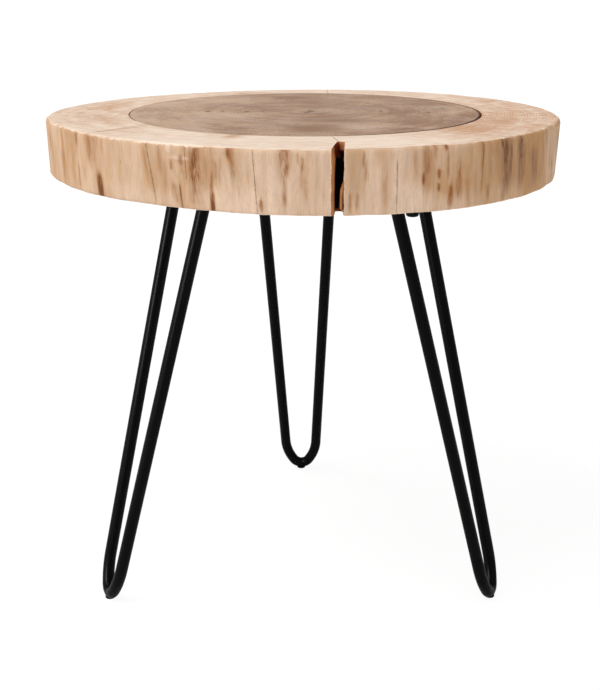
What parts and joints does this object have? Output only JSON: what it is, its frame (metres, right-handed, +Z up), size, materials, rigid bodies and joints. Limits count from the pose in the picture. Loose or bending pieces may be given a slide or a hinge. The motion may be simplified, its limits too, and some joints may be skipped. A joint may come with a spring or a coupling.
{
  "type": "side table",
  "caption": "Rustic side table: a thick natural-edge log slice with a flush round inlay in its top, on splayed black hairpin legs.",
  "frame": {"origin": "on the floor, under the middle of the whole table's box", "axes": "+Z up out of the top; +X along the slice's longest width, to the right for someone facing the side with the wide crack; that side faces -Y, and the back leg stands towards +Y"},
  "size_m": [0.4887, 0.4546, 0.4736],
  "materials": {
    "log_wood": "sanded end grain on top, natural debarked side, matt clear finish",
    "inlay_wood": "grey-brown matt end grain",
    "black_powder_coat": "satin black powder coat",
    "black_screw": "black coated steel"
  },
  "bodies": {
    "root": {"log_slab": "log_wood", "inlay_disc": "inlay_wood", "rim_screw": "black_screw", "hairpin_rod_back": "black_powder_coat", "foot_disc_back": "black_powder_coat", "weld_beads_back": "black_powder_coat", "mounting_plate_back": "black_powder_coat", "plate_screws_back": "black_screw", "hairpin_rod_left": "black_powder_coat", "foot_disc_left": "black_powder_coat", "weld_beads_left": "black_powder_coat", "mounting_plate_left": "black_powder_coat", "plate_screws_left": "black_screw", "hairpin_rod_right": "black_powder_coat", "foot_disc_right": "black_powder_coat", "weld_beads_right": "black_powder_coat", "mounting_plate_right": "black_powder_coat", "plate_screws_right": "black_screw"}
  },
  "joints": []
}
